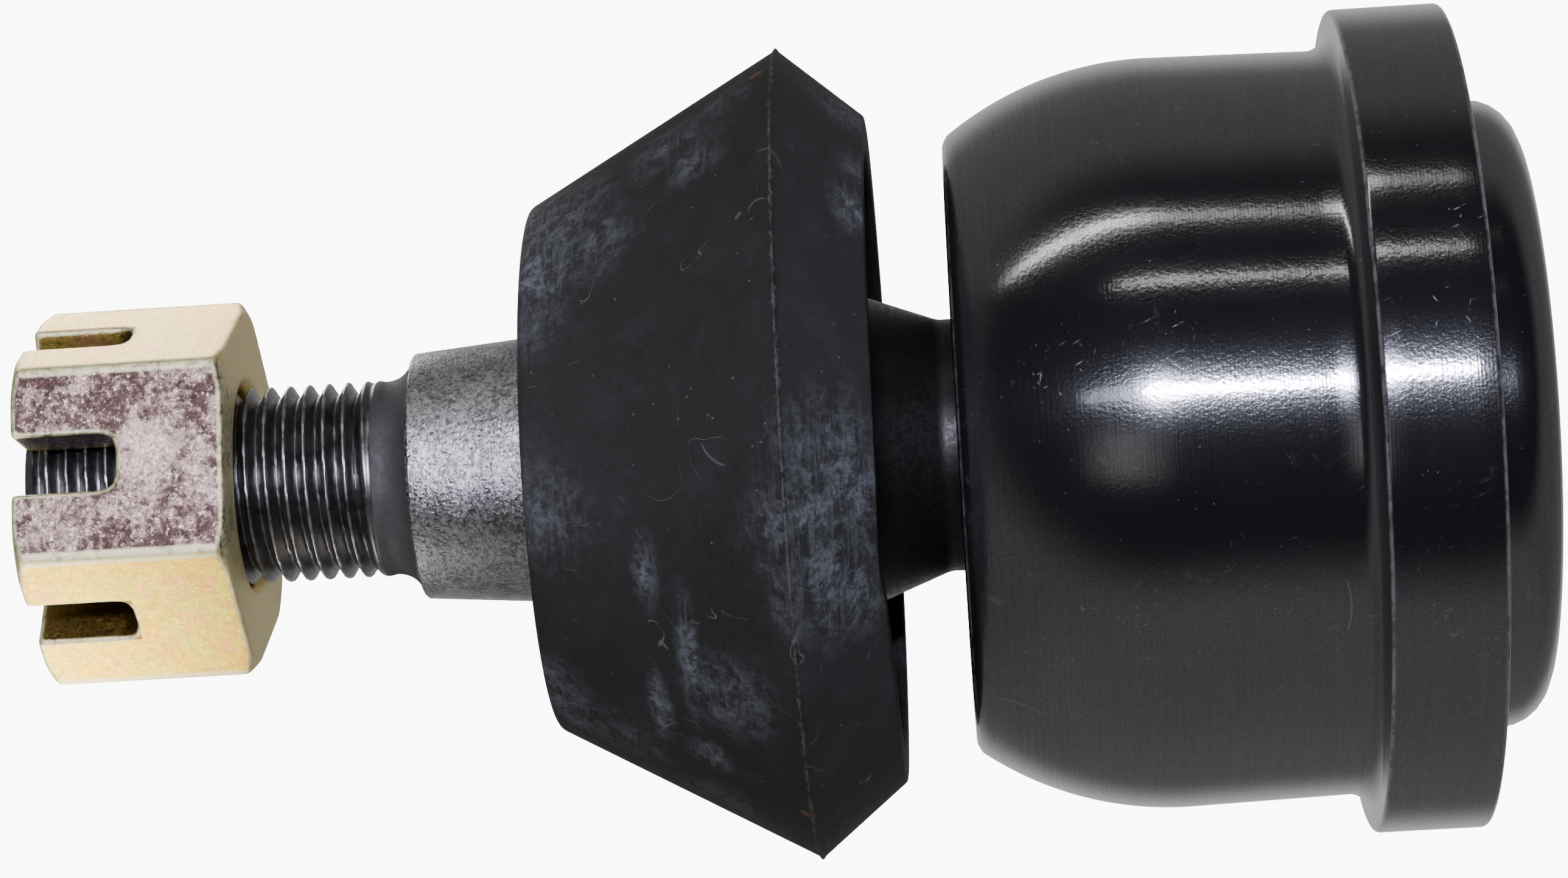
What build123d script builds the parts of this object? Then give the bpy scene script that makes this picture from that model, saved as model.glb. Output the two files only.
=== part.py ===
from build123d import *
from math import asin, cos, radians, sin, sqrt
import os

# Suspension ball joint in millimetres.
# Z runs along the stud, away from the housing. The origin is the centre of the ball.

# Ball, neck and how far the stud leans
BALL_R = 16.0
SWING = 20.0
BALL_FLAT_Z = -14.6
NECK_FILLET = 1.6

# Running clearances and play
BALL_PLAY = 0.08
BEARING_PLAY = 0.08
BOOT_PLAY = 0.10
THREAD_PLAY = 0.10
PLATE_PLAY = 0.04
SPRING_PLAY = 0.10
MOUTH_GAP = 0.9
MOUTH_EDGE = 0.4

# Housing
FACE_Z = 14.9
FACE_R = 21.8
FACE_EDGE = 0.6
DOME_R = 23.7
BARREL_R = 26.7
BARREL_FILLET = 1.0
FLANGE_TOP_Z = -12.7
FLANGE_R = 29.25
FLANGE_H = 7.8
FLANGE_EDGE = 0.4
LIP_R = 22.3
LIP_CURL = 3.2
LIP_T = 1.5
LIP_HOLE_R = 16.8
BOTTOM_Z = -25.3
SOCKET_R = 20.0

# Bearings
UPPER_TOP_Z = 8.6
UPPER_BOTTOM_Z = -3.2
SHOULDER_R = 16.4
SPLIT_GAP = 1.2
LOWER_BOTTOM_Z = -18.2
GREASE_HOLE_R = 3.0
GROOVE_R = 0.9
GROOVES = 4
BEARING_EDGE = 0.8

# Preload spring
SPRING_T = 1.3
SPRING_HOLE_R = 8.6
SPRING_RIM_PLAY = 0.4

# Cover plate and grease port
PLATE_R = 20.8
PLATE_T = 2.4
PORT_R = 2.75
PORT_BOSS_R = 5.2
PORT_L = 4.6
PORT_EDGE = 0.4

# Stud above the ball
CONE_LOW_Z = 16.0
CONE_LOW_R = 9.0
COLLAR_LOW_Z = 22.3
COLLAR_R = 11.4
COLLAR_TOP_Z = 31.0
COLLAR_EDGE = 0.5
TAPER_TOP_Z = 53.6
TAPER_TOP_R = 8.83
TAPER = 1 / 6
RELIEF_R = 6.95
RELIEF_L = 2.2
THREAD_LOW_Z = 57.1
THREAD_R = 7.05
STUD_END_Z = 81.2
STUD_CHAMFER = 1.1
COTTER_R = 1.6
COTTER_FROM_END = 7.6

# Slotted nut
NUT_BELOW_END = 0.3
NUT_H = 15.0
NUT_FLATS = 23.8
NUT_CHAMFER_SLOPE = 0.5
NUT_FACE_R = 12.6
NUT_TURN = 11.5
SLOTS = 6
SLOT_W = 4.0
SLOT_DEPTH = 7.4
SLOT_CORNER_R = 1.0
NUT_MOUTH = 0.7

# Dust boot
BOOT_TOP_Z = 44.5
BOOT_TOP_R = 18.86
BOOT_EDGE_R = 0.9
SEAM_Z = 26.3
SEAM_R = 29.18
RIM_Z = 19.95
RIM_R = 24.0
BOOT_WALL = 2.9
BOOT_GRIP_L = 6.5
GRIP_GROOVES = 2
GRIP_GROOVE_R = 0.7


def turn(edges, *corners):
    """Turn a closed profile of (radius, height) edges about Z, its named corners rounded."""
    profile = make_face(edges)
    for place, radius in corners:
        corner = profile.vertices().sort_by_distance((*place, 0))[0]
        profile = fillet(corner, radius)
    return revolve(Plane.XZ * profile, Axis.Z)


def taper_radius(z):
    """Radius of the seat's taper at a height."""
    return TAPER_TOP_R + (TAPER_TOP_Z - z) * TAPER / 2


def leaning(r, z):
    """Reach and height of a point of the stud, with the stud leaning that way to its limit."""
    lean = radians(SWING)
    return r * cos(lean) + z * sin(lean), z * cos(lean) - r * sin(lean)


def ball_radius(z, play=0.0):
    """Radius of the ball, or of a seat with play around it, at a height."""
    return sqrt((BALL_R + play) ** 2 - z**2)


def mouth_radius(z):
    """Radius that clears the leaning neck at a height of the housing's mouth."""
    low_r, low_z = leaning(CONE_LOW_R, CONE_LOW_Z)
    high_r, high_z = leaning(COLLAR_R, COLLAR_LOW_Z)
    return low_r + (z - low_z) * (high_r - low_r) / (high_z - low_z) + MOUTH_GAP


PLATE_LOW_Z = BOTTOM_Z + LIP_T
PLATE_TOP_Z = PLATE_LOW_Z + PLATE_T
FLANGE_LOW_Z = FLANGE_TOP_Z - FLANGE_H
SHOULDER_Z = UPPER_TOP_Z + BEARING_PLAY


def housing():
    """Forged cup: domed nose, press-in barrel, flange and the lip rolled over the cover."""
    dome_r = BARREL_R - DOME_R
    dome_z = FACE_Z - sqrt(DOME_R**2 - (FACE_R - dome_r) ** 2)
    half = asin((FACE_Z - dome_z) / DOME_R) / 2
    dome_mid = (dome_r + DOME_R * cos(half), dome_z + DOME_R * sin(half))
    shoulder_low = SHOULDER_Z - (SOCKET_R - SHOULDER_R)
    throat = (ball_radius(SHOULDER_Z) + MOUTH_EDGE, SHOULDER_Z)
    outside = Polyline(
        (BARREL_R, dome_z),
        (BARREL_R, FLANGE_TOP_Z),
        (FLANGE_R, FLANGE_TOP_Z),
        (FLANGE_R, FLANGE_LOW_Z),
        (LIP_R, FLANGE_LOW_Z),
        (LIP_R, BOTTOM_Z),
        (LIP_HOLE_R, BOTTOM_Z),
        (LIP_HOLE_R, PLATE_LOW_Z),
        (PLATE_R, PLATE_LOW_Z),
        (PLATE_R, PLATE_TOP_Z),
        (SOCKET_R, PLATE_TOP_Z),
        (SOCKET_R, shoulder_low),
        (SHOULDER_R, SHOULDER_Z),
        throat,
        (mouth_radius(FACE_Z), FACE_Z),
        (FACE_R, FACE_Z),
    )
    dome = ThreePointArc((FACE_R, FACE_Z), dome_mid, (BARREL_R, dome_z))
    return turn(
        outside + dome,
        ((FACE_R, FACE_Z), FACE_EDGE),
        ((mouth_radius(FACE_Z), FACE_Z), FACE_EDGE),
        ((BARREL_R, FLANGE_TOP_Z), BARREL_FILLET),
        ((FLANGE_R, FLANGE_TOP_Z), FLANGE_EDGE),
        ((FLANGE_R, FLANGE_LOW_Z), FLANGE_EDGE),
        ((LIP_R, BOTTOM_Z), LIP_CURL),
    )


def grease_grooves():
    """Rings round the ball through both poles, that cut half grooves along the seats."""
    ring = Rot(90, 0, 0) * Torus(BALL_R + BALL_PLAY, GROOVE_R)
    return [Rot(0, 0, 360 / GROOVES * i) * ring for i in range(GROOVES // 2)]


def upper_bearing():
    """Seat above the ball's middle, shouldered against the housing under its mouth."""
    seat_r = BALL_R + BALL_PLAY
    outer_r = SOCKET_R - BEARING_PLAY
    half = UPPER_TOP_Z / 2
    walls = Polyline(
        (seat_r, 0),
        (seat_r, UPPER_BOTTOM_Z),
        (outer_r, UPPER_BOTTOM_Z),
        (outer_r, UPPER_TOP_Z - (outer_r - SHOULDER_R)),
        (SHOULDER_R, UPPER_TOP_Z),
        (ball_radius(UPPER_TOP_Z, BALL_PLAY), UPPER_TOP_Z),
    )
    seat = ThreePointArc(
        (ball_radius(UPPER_TOP_Z, BALL_PLAY), UPPER_TOP_Z),
        (ball_radius(half, BALL_PLAY), half),
        (seat_r, 0),
    )
    return turn(walls + seat) - grease_grooves()


def lower_bearing():
    """Cup under the ball, with a grease hole, that the spring pushes up."""
    outer_r = SOCKET_R - BEARING_PLAY
    top_z = UPPER_BOTTOM_Z - SPLIT_GAP
    hole_z = -ball_radius(GREASE_HOLE_R, BALL_PLAY)
    half = (top_z + hole_z) / 2
    walls = Polyline(
        (GREASE_HOLE_R, hole_z),
        (GREASE_HOLE_R, LOWER_BOTTOM_Z),
        (outer_r, LOWER_BOTTOM_Z),
        (outer_r, top_z),
        (ball_radius(top_z, BALL_PLAY), top_z),
    )
    seat = ThreePointArc(
        (ball_radius(top_z, BALL_PLAY), top_z),
        (ball_radius(half, BALL_PLAY), half),
        (GREASE_HOLE_R, hole_z),
    )
    cup = turn(walls + seat, ((outer_r, LOWER_BOTTOM_Z), BEARING_EDGE))
    return cup - grease_grooves()


def preload_spring():
    """Cone-shaped disc spring, its rim on the cover and its crown under the lower bearing."""
    rim_r = SOCKET_R - SPRING_RIM_PLAY
    crown_z = LOWER_BOTTOM_Z - SPRING_PLAY
    return turn(
        Polyline(
            (rim_r, PLATE_TOP_Z),
            (rim_r, PLATE_TOP_Z + SPRING_T),
            (SPRING_HOLE_R, crown_z),
            (SPRING_HOLE_R, crown_z - SPRING_T),
            close=True,
        )
    )


def cover_plate():
    """Round plate closed in by the lip, with a boss for the grease port."""
    rim_r = PLATE_R - PLATE_PLAY
    boss_z = PLATE_LOW_Z + PORT_L
    return turn(
        Polyline(
            (PORT_R, PLATE_LOW_Z),
            (rim_r, PLATE_LOW_Z),
            (rim_r, PLATE_TOP_Z),
            (PORT_BOSS_R, PLATE_TOP_Z),
            (PORT_BOSS_R, boss_z),
            (PORT_R, boss_z),
            close=True,
        ),
        ((PORT_BOSS_R, boss_z), PORT_EDGE),
    )


def ball_stud():
    """Ball, neck cone, collar, tapered seat, relief and threaded end in one piece."""
    flat_r = ball_radius(BALL_FLAT_Z)
    neck_z = ball_radius(CONE_LOW_R)
    relief_z = TAPER_TOP_Z + RELIEF_L
    thread_edge = THREAD_R - RELIEF_R
    ball = ThreePointArc((flat_r, BALL_FLAT_Z), (BALL_R, 0), (CONE_LOW_R, neck_z))
    shank = Polyline(
        (CONE_LOW_R, neck_z),
        (CONE_LOW_R, CONE_LOW_Z),
        (COLLAR_R, COLLAR_LOW_Z),
        (COLLAR_R, COLLAR_TOP_Z),
        (taper_radius(COLLAR_TOP_Z), COLLAR_TOP_Z),
        (TAPER_TOP_R, TAPER_TOP_Z),
    )
    relief = RadiusArc((TAPER_TOP_R, TAPER_TOP_Z), (RELIEF_R, relief_z), RELIEF_L)
    thread = Polyline(
        (RELIEF_R, relief_z),
        (RELIEF_R, THREAD_LOW_Z - thread_edge),
        (THREAD_R, THREAD_LOW_Z),
        (THREAD_R, STUD_END_Z - STUD_CHAMFER),
        (THREAD_R - STUD_CHAMFER, STUD_END_Z),
        (0, STUD_END_Z),
        (0, BALL_FLAT_Z),
        (flat_r, BALL_FLAT_Z),
    )
    stud = turn(
        [*ball.edges(), *shank.edges(), *relief.edges(), *thread.edges()],
        ((CONE_LOW_R, neck_z), NECK_FILLET),
        ((COLLAR_R, COLLAR_LOW_Z), COLLAR_EDGE),
        ((COLLAR_R, COLLAR_TOP_Z), COLLAR_EDGE),
    )
    slot_pitch = 360 / SLOTS
    cotter_hole = Pos(0, 0, STUD_END_Z - COTTER_FROM_END) * Rot(0, 90, NUT_TURN + slot_pitch / 2)
    return stud - cotter_hole * Cylinder(COTTER_R, 2 * THREAD_R + STUD_CHAMFER)


def castle_nut():
    """Heavy hexagon nut with six slots across its top, each in the middle of a flat."""
    corner_r = NUT_FLATS / sqrt(3)
    drop = (corner_r - NUT_FACE_R) * NUT_CHAMFER_SLOPE
    bore_r = THREAD_R + THREAD_PLAY
    hexagon = extrude(RegularPolygon(corner_r, 6), NUT_H)
    barrel = turn(
        Polyline(
            (bore_r, NUT_MOUTH),
            (bore_r + NUT_MOUTH, 0),
            (NUT_FACE_R, 0),
            (corner_r, drop),
            (corner_r, NUT_H - drop),
            (NUT_FACE_R, NUT_H),
            (bore_r + NUT_MOUTH, NUT_H),
            (bore_r, NUT_H - NUT_MOUTH),
            close=True,
        )
    )
    nut = hexagon & barrel
    slot = Rectangle(SLOT_W, 2 * SLOT_DEPTH)
    slot = fillet(slot.vertices().group_by(Axis.Y)[0], SLOT_CORNER_R)
    cutter = extrude(Plane.XZ * slot, 2 * corner_r)
    for i in range(SLOTS):
        nut -= Pos(0, 0, NUT_H) * Rot(0, 0, 360 / SLOTS * i) * cutter
    low_z = STUD_END_Z - NUT_BELOW_END - NUT_H
    return Pos(0, 0, low_z) * Rot(0, 0, NUT_TURN) * nut


def dust_boot():
    """Moulded rubber cover: a collar that grips the taper and a double cone open below."""
    grip_z = BOOT_TOP_Z - BOOT_GRIP_L
    fall = (SEAM_R - BOOT_TOP_R) / (BOOT_TOP_Z - SEAM_Z)
    wall = BOOT_WALL * sqrt(1 + fall**2)
    roof_r = SEAM_R - wall - (grip_z - SEAM_Z) * fall
    bell = turn(
        Polyline(
            (RIM_R, RIM_Z),
            (SEAM_R, SEAM_Z),
            (BOOT_TOP_R, BOOT_TOP_Z),
            (taper_radius(BOOT_TOP_Z) + BOOT_PLAY, BOOT_TOP_Z),
            (taper_radius(grip_z) + BOOT_PLAY, grip_z),
            (roof_r, grip_z),
            (SEAM_R - wall, SEAM_Z),
            (RIM_R - BOOT_WALL, RIM_Z),
            close=True,
        ),
        ((BOOT_TOP_R, BOOT_TOP_Z), BOOT_EDGE_R),
        ((roof_r, grip_z), BOOT_WALL),
        ((SEAM_R - wall, SEAM_Z), BOOT_WALL),
    )
    for i in range(GRIP_GROOVES):
        z = grip_z + BOOT_GRIP_L * (i + 1) / (GRIP_GROOVES + 1)
        bell -= Pos(0, 0, z) * Torus(taper_radius(z) + BOOT_PLAY, GRIP_GROOVE_R)
    return bell


NODES = {
    "housing": housing,
    "cover_plate": cover_plate,
    "preload_spring": preload_spring,
    "lower_bearing": lower_bearing,
    "upper_bearing": upper_bearing,
    "ball_stud": ball_stud,
    "dust_boot": dust_boot,
    "castle_nut": castle_nut,
}

os.makedirs("parts", exist_ok=True)
for name, make in NODES.items():
    export_step(make(), f"parts/{name}.step")
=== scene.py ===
import math

import bmesh
import bpy
import numpy as np
from mathutils import Matrix, Vector


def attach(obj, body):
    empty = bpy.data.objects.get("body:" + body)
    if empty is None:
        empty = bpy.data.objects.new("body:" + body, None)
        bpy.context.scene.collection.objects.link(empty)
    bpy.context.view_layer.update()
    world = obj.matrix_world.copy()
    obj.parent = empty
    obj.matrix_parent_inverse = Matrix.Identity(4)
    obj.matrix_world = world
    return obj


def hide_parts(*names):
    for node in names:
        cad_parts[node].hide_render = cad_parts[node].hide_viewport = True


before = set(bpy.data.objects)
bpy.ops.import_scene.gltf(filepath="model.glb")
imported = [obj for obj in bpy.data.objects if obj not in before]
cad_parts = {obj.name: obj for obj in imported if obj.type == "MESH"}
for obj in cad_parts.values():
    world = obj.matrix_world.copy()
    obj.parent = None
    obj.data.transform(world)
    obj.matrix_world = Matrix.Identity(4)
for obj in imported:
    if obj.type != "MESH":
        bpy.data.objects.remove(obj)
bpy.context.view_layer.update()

MM = 0.001

# The photograph's width and lens in pixels, and the view that it was taken from, in millimetres
# and degrees
IMAGE_W = 2576
SENSOR_W = 36.0
FOCAL_PX = 7095.0
DISTANCE = 309.2
AIM_Z = 18.0
AIM_RIGHT, AIM_UP = 9.5, -0.57
YAW, ROLL = -2.8, 3.4

# Light: how white the backdrop looks, the floor's radius and thickness, and what the part mirrors.
# That is a pale sky with a brighter wall behind it, the pale table below it and a dark room on the
# camera's side, each with its level and its edge in degrees.
WHITE = 10.0
FLOOR_R, FLOOR_T = 900, 1.0
SKY, ROOM, WALL, TABLE = 0.22, 0.010, 0.38, 0.055
ROOM_ANGLE, ROOM_EDGE = 22.0, (78.0, 54.0)
WALL_ANGLE, WALL_EDGE = 180.0, (46.0, 10.0)
TABLE_ANGLE, TABLE_EDGE = -85.0, (50.0, 22.0)

# Housing
FACE_Z, FACE_R = 14.9, 21.8
DOME_R, BARREL_R = 23.7, 26.7
FLANGE_TOP_Z, FLANGE_H, FLANGE_R = -12.7, 7.8, 29.25
LIP_R, LIP_T, LIP_HOLE_R, BOTTOM_Z = 22.3, 1.5, 16.8, -25.3
SOCKET_R, PLATE_R, PLATE_T = 20.0, 20.8, 2.4
THROAT_R, THROAT_Z, MOUTH_R = 13.84, 8.68, 17.33
SHOULDER_R = 16.4

# Stud
BALL_R, BALL_FLAT_Z = 16.0, -14.6
CONE_LOW_R, CONE_LOW_Z = 9.0, 16.0
COLLAR_R, COLLAR_LOW_Z, COLLAR_TOP_Z = 11.4, 22.3, 31.0
TAPER_TOP_R, TAPER_TOP_Z, TAPER = 8.83, 53.6, 1 / 6
RELIEF_R, RELIEF_L = 6.95, 2.2
THREAD_R, THREAD_LOW_Z, STUD_END_Z, STUD_CHAMFER = 7.05, 57.1, 81.2, 1.1
PITCH = 1.4111
COTTER_R, COTTER_FROM_END = 1.6, 7.6

# Nut
NUT_LOW_Z, NUT_H, NUT_FLATS, NUT_FACE_R, NUT_TURN = 65.9, 15.0, 23.8, 12.6, 11.5
NUT_BORE_R, NUT_MOUTH = 7.15, 0.7
SLOT_W, SLOT_DEPTH, SLOT_CORNER_R, SLOTS = 4.0, 7.4, 1.0, 6

# Boot
BOOT_TOP_Z, BOOT_TOP_R = 44.5, 18.86
SEAM_Z, SEAM_R = 26.3, 29.18
RIM_Z, RIM_R, BOOT_WALL, BOOT_GRIP_L = 19.95, 24.0, 2.9, 6.5
BOOT_PLAY, GRIP_R = 0.1, 13

# Steps of the turned shapes: how many sides they have, and the longest run of their outlines
HOUSING_SIDES, STUD_SIDES, BOOT_SIDES = 256, 160, 288
HOUSING_RUN, STUD_RUN, BOOT_RUN = 1.6, 1.2, 1.0

# The dressed ball's arc stops so many degrees before the neck. If it stopped sooner, the neck would
# meet the upper bearing at full lean.
BALL_END = 1.8

# Cut thread: its depth, how far below the shank it fades out, and rows of points to a turn
THREAD_DEPTH = 0.6134 * PITCH
THREAD_RUN_IN = 0.8
THREAD_ROWS = 16

# The nut's corners, and the grid and the passes that soften its edges
NUT_CORNER_R = NUT_FLATS / math.sqrt(3)
NUT_CHAMFER_SLOPE = 0.5
NUT_GRID, NUT_PASSES = 0.16, 26

# Where a painted highlight lightens the nut's corners, and where the mauve flat ends, in radians
# from its middle
NUT_EDGE_HIGHLIGHT_R = (13.40, 13.52)
MAUVE_EDGE = (0.512, 0.535)

# The dent in the boot's rim
KINK_ANGLE = math.radians(-114)
KINK_WIDTH = math.radians(16)

# Widths of hair lines and rubbed edges, from full to nothing, and of a hair line's end
HAIR_W, HAIR_END = 0.11, 0.6
EDGE_W = (0.08, 0.26)

# Edges of the paint that are rubbed bright, as radius and height
WORN_EDGES = (
    (FLANGE_R - 0.1, FLANGE_TOP_Z - 0.1),
    (FLANGE_R - 0.1, FLANGE_TOP_Z - FLANGE_H + 0.1),
    (FACE_R, FACE_Z - 0.1),
)

# Where scratches gather on the paint, with their reach and strength
RUBS = (
    ((4.9, -26.2, 0.3), 4.5, 2.5),
    ((4.0, -25.5, 7.5), 3.5, 2.0),
    ((5.8, -28.7, -16.1), 4.0, 2.5),
    ((13.2, -26.1, -19.4), 2.5, 1.5),
    ((-13.3, -26.0, -17.2), 3.0, 0.4),
    ((-15.2, -25.0, -19.1), 3.0, 0.4),
    ((-12.3, -23.5, 3.2), 3.5, 0.35),
    ((-13.0, -23.3, -3.7), 2.0, 0.3),
    ((-10.6, -23.4, 7.0), 2.5, 0.35),
)

# Hair lines on the paint: the middle and radius of a circle, the place where its line shows, and
# how far from there it reaches
PAINT_HAIRS = (
    ((-20.2, -12.4, 11.5), 4.2, (-17.2, -16.0, 11.5), 2.6),
    ((-12.2, -23.7, -4.4), 6.0, (-12.2, -23.7, -10.4), 2.2),
)

# Lint on the boot
BOOT_HAIRS = (
    ((16.6, -23.5, 27.3), 0.9, (17.2, -23.0, 27.6), 1.2),
    ((19.4, -21.6, 27.6), 2.2, (20.6, -20.6, 26.2), 1.6),
    ((2.0, -26.0, 29.0), 2.8, (0.2, -26.4, 31.0), 1.4),
    ((-8.4, -25.6, 33.0), 2.0, (-8.4, -24.6, 34.8), 1.2),
)

# Where powder is rubbed into the boot: the place, its reach, how much shorter it is along the axis
# than round it, how strong it is
SCUFFS = (
    ((17.5, -7.6, 44.2), 6.0, 1, 0.9),
    ((13.9, -13.9, 43.1), 6.5, 1, 0.9),
    ((17.3, -10.9, 41.6), 6.5, 1, 0.8),
    ((15.2, -15.8, 39.1), 5.0, 1, 0.6),
    ((10.5, -16.0, 44.1), 5.5, 1, 0.5),
    ((21.9, -11.8, 33.9), 5.0, 1, 0.6),
    ((20.6, -16.1, 31.7), 3.5, 1, 0.7),
    ((24.9, -10.9, 29.8), 3.5, 1, 0.6),
    ((23.6, -7.9, 21.0), 5.0, 1, 0.8),
    ((16.6, -18.4, 20.9), 3.5, 1.4, 1.2),
    ((19.0, -14.6, 19.9), 3.5, 1, 0.8),
    ((-0.2, -26.6, 23.1), 6.5, 1, 0.9),
    ((-3.0, -25.3, 21.7), 5.0, 1, 1.2),
    ((-4.8, -27.4, 24.6), 6.0, 1, 1.0),
    ((-8.4, -25.0, 22.9), 6.5, 1, 1.1),
    ((-9.4, -27.1, 25.7), 5.0, 1.6, 0.7),
    ((-10.4, -23.0, 21.5), 3.5, 1, 1.0),
    ((-7.1, -22.5, 36.2), 4.0, 3.0, 0.9),
    ((-13.5, -21.0, 33.7), 7.0, 6.0, 1.3),
    ((-16.9, -16.6, 36.1), 5.0, 4.0, 1.2),
    ((-20.3, -15.1, 33.1), 2.5, 1, 1.1),
    ((-16.2, -20.8, 31.2), 5.5, 1, 0.7),
    ((-2.8, -19.2, 43.5), 6.0, 1, 0.5),
    ((-15.1, -11.3, 44.5), 5.5, 1, 0.8),
    ((-17.2, -10.1, 42.6), 5.5, 1, 0.8),
    ((-19.0, -11.2, 38.8), 5.0, 1, 0.6),
    ((-23.7, -9.3, 32.9), 4.5, 1, 0.6),
    ((10.0, 20.0, 35.0), 9.0, 1, 0.7),
    ((-14.0, 15.0, 41.0), 7.0, 1, 0.8),
    ((-18.0, 17.0, 24.0), 8.0, 1, 0.8),
    ((20.0, 15.0, 24.0), 7.0, 1, 0.7),
)

# Small crusts of dirt, and rusty flecks beside the seam
CRUSTS = (((12.5, -17.6, 39.7), 2.6), ((16.0, -17.8, 36.0), 1.6), ((-5.0, -28.6, 26.4), 2.4))
FLECKS = ((26.6, -9.9, 27.6), (-24.7, -14.9, 26.9))

# Painted highlight: a brighter patch of the mauve flat, just below its slot
MAUVE_HIGHLIGHT_SPOT = (2.4, -11.7, 71.4)

# Soft boxes: degrees above the camera's line, distance, reach along Z, width and radiance, and what
# differs from a white panel that shines to all sides
COOL = (0.76, 0.77, 1.0)
SIDE_FADE = 0.4
SOFT_BOXES = {
    "flash": (12, 600, (-97, 80), 12, 1600, {"colour": COOL}),
    "flash_glow": (12, 600, (-130, 330), 54, 4.5, {"colour": COOL, "fade": 0.1}),
    "low_glow": (-6, 600, (-60, 380), 260, 0.5, {"fade": 0.5}),
    "upper_strip": (45, 600, (-140, 180), 19, 8.5, {"fade": 0.3}),
    "top_box": (66, 600, (-160, 680), 50, 11, {"fade": 0.4}),
    "stud_flash": (12, 150, (46, 118), 6, 12.5, {"colour": COOL, "beam": 30}),
    "nut_low": (-93, 60, (74, 112), 50, 4.6, {"beam": 70}),
    "nut_high": (147, 75, (66, 134), 60, 1.9, {"beam": 70}),
}


def mesh_object(name, verts, faces):
    """New object in the scene from points in millimetres."""
    mesh = bpy.data.meshes.new(name)
    mesh.from_pydata([(x * MM, y * MM, z * MM) for x, y, z in verts], [], faces)
    mesh.update()
    piece = bpy.data.objects.new(name, mesh)
    bpy.context.scene.collection.objects.link(piece)
    return piece


def smooth(piece, angle=40):
    """Smooth shading, with edges sharper than an angle kept crisp."""
    mesh = piece.data
    mesh.polygons.foreach_set("use_smooth", [True] * len(mesh.polygons))
    mesh.set_sharp_from_angle(angle=math.radians(angle))
    return piece


def arc(centre, radius, start, end, steps):
    """Points of an arc in the (radius, height) plane, angles in degrees from the radial axis."""
    angles = np.radians(np.linspace(start, end, steps))
    return [(centre[0] + radius * math.cos(a), centre[1] + radius * math.sin(a)) for a in angles]


def rounded(corners, steps=6):
    """Outline through (r, z, corner radius) points, with each corner radius as an arc."""
    line = []
    count = len(corners)
    for i, corner in enumerate(corners):
        radius = corner[2] if len(corner) > 2 else 0
        here = Vector(corner[:2])
        if radius == 0:
            line.append(tuple(here))
            continue
        back = (Vector(corners[i - 1][:2]) - here).normalized()
        ahead = (Vector(corners[(i + 1) % count][:2]) - here).normalized()
        half = back.angle(ahead) / 2
        reach = radius / math.tan(half)
        middle = here + (back + ahead).normalized() * (radius / math.sin(half))
        first = here + back * reach - middle
        last = here + ahead * reach - middle
        turn = first.angle_signed(last)
        for k in range(steps + 1):
            swung = first.copy()
            swung.rotate(Matrix.Rotation(-turn * k / steps, 2))
            line.append(tuple(middle + swung))
    return line


def finer(line, longest, closed=True):
    """Outline with points added so that no run is longer than a limit. An open one loses its end."""
    out = []
    ends = line[1:] + line[:1] if closed else line[1:]
    for (r0, z0), (r1, z1) in zip(line, ends):
        parts = max(1, math.ceil(math.hypot(r1 - r0, z1 - z0) / longest))
        out += [(r0 + (r1 - r0) * k / parts, z0 + (z1 - z0) * k / parts) for k in range(parts)]
    return out


def swept(line, segments, shape):
    """Points of an outline swung round the axis. shape(r, angle, z) may move each point."""
    verts = []
    for j in range(segments):
        a = 2 * math.pi * j / segments
        for r, z in line:
            rr, zz = shape(r, a, z) if shape else (r, z)
            verts.append((rr * math.cos(a), rr * math.sin(a), zz))
    return verts


def lathe(name, line, segments, shape=None):
    """Closed ring turned from a closed outline."""
    verts, faces = swept(line, segments, shape), []
    rows = len(line)
    for j in range(segments):
        k = (j + 1) % segments
        for i in range(rows):
            n = (i + 1) % rows
            faces.append((j * rows + i, k * rows + i, k * rows + n, j * rows + n))
    return mesh_object(name, verts, faces)


def spindle(name, line, segments, shape=None):
    """Solid turned from an outline that starts and ends on the axis."""
    rings = line[1:-1]
    rows = len(rings)
    verts, faces = swept(rings, segments, shape), []
    for j in range(segments):
        k = (j + 1) % segments
        for i in range(rows - 1):
            faces.append((j * rows + i, k * rows + i, k * rows + i + 1, j * rows + i + 1))
    low, high = len(verts), len(verts) + 1
    verts += [(0, 0, line[0][1]), (0, 0, line[-1][1])]
    for j in range(segments):
        k = (j + 1) % segments
        faces.append((low, k * rows, j * rows))
        faces.append((high, j * rows + rows - 1, k * rows + rows - 1))
    return mesh_object(name, verts, faces)


def prism(name, radius, low, high, sides, start=0.0):
    """Upright prism with regular sides, its corners at a radius."""
    ring = [2 * math.pi * i / sides + start for i in range(sides)]
    verts = [(radius * math.cos(a), radius * math.sin(a), z) for z in (low, high) for a in ring]
    faces = [tuple(range(sides - 1, -1, -1)), tuple(range(sides, 2 * sides))]
    faces += [(i, (i + 1) % sides, sides + (i + 1) % sides, sides + i) for i in range(sides)]
    return mesh_object(name, verts, faces)


def carve(piece, tool, operation):
    """Boolean a tool into a piece and drop the tool."""
    step = piece.modifiers.new(operation, "BOOLEAN")
    step.operation = operation
    step.solver = "EXACT"
    step.object = tool
    bake(piece)
    bpy.data.objects.remove(tool)


def bake(piece):
    """Replace a piece's mesh by what its modifiers make of it."""
    graph = bpy.context.evaluated_depsgraph_get()
    made = bpy.data.meshes.new_from_object(piece.evaluated_get(graph))
    piece.modifiers.clear()
    piece.data = made


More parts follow.
